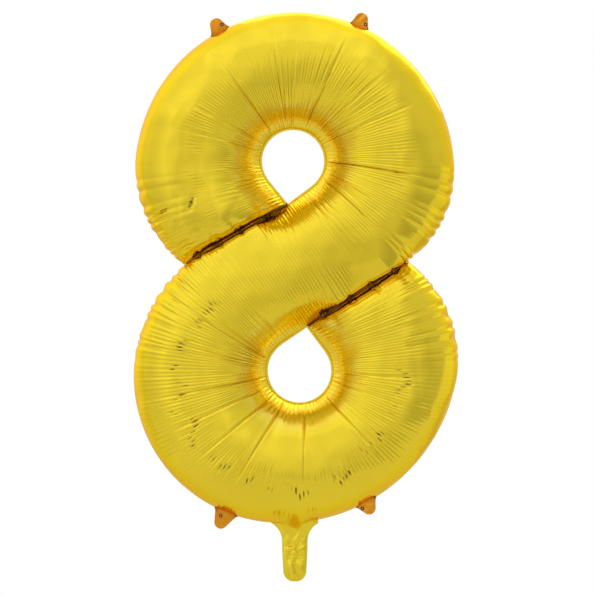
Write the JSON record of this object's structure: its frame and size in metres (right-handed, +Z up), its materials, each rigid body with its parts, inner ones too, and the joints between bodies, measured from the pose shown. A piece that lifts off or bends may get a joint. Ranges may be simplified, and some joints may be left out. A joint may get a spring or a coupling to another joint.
{
  "type": "foil number balloon",
  "caption": "Inflated foil balloon shaped as a figure eight, with two eye holes, folding hanging tabs and a filling tail with a self-sealing valve.",
  "frame": {"origin": "middle of the overall box, tail and tabs included, on the plane of the seam", "axes": "+X to the right and +Z up as the digit is read from the front, +Y from the front to the back"},
  "size_m": [0.5474, 0.17, 0.959],
  "materials": {
    "panel_foil": "metallised gold foil, mirror gloss with fine wrinkles",
    "seam_foil": "metallised gold foil, flat heat-welded band",
    "tail_foil": "metallised gold foil, limp and creased",
    "tab_foil": "metallised orange-gold foil, flat",
    "valve_film": "clear thin film"
  },
  "bodies": {
    "balloon": {"front_panel": "panel_foil", "back_panel": "panel_foil", "outer_seam": "seam_foil", "upper_eye_seam": "seam_foil", "lower_eye_seam": "seam_foil", "upper_waist_weld": "seam_foil", "lower_waist_weld": "seam_foil", "neck_front_layer": "tail_foil", "neck_back_layer": "tail_foil", "valve_front_film": "valve_film", "valve_back_film": "valve_film"},
    "tail": {"tail_front_layer": "tail_foil", "tail_back_layer": "tail_foil"},
    "tab_top_left": {"tab_top_left": "tab_foil"},
    "tab_top_right": {"tab_top_right": "tab_foil"},
    "tab_bottom_left": {"tab_bottom_left": "tab_foil"},
    "tab_bottom_right": {"tab_bottom_right": "tab_foil"}
  },
  "joints": [
    {"name": "tail_fold", "type": "hinge", "parent": "balloon", "child": "tail", "pos_m": [-0.002, 0, -0.417], "axis": [1, 0, 0], "range_deg": [-90, 90], "stiffness_Nm_per_rad": 0.0002},
    {"name": "tab_top_left_fold", "type": "hinge", "parent": "balloon", "child": "tab_top_left", "pos_m": [-0.12852, 0, 0.44795], "axis": [0.8829, 0, 0.4695], "range_deg": [-90, 90], "stiffness_Nm_per_rad": 0.00005},
    {"name": "tab_top_right_fold", "type": "hinge", "parent": "balloon", "child": "tab_top_right", "pos_m": [0.10762, 0, 0.4562], "axis": [0.9135, 0, -0.4067], "range_deg": [-90, 90], "stiffness_Nm_per_rad": 0.00005},
    {"name": "tab_bottom_left_fold", "type": "hinge", "parent": "balloon", "child": "tab_bottom_left", "pos_m": [-0.11842, 0, -0.36422], "axis": [-0.9278, 0, 0.373], "range_deg": [-90, 90], "stiffness_Nm_per_rad": 0.00005},
    {"name": "tab_bottom_right_fold", "type": "hinge", "parent": "balloon", "child": "tab_bottom_right", "pos_m": [0.11873, 0, -0.34791], "axis": [-0.8829, 0, -0.4695], "range_deg": [-90, 90], "stiffness_Nm_per_rad": 0.00005}
  ]
}
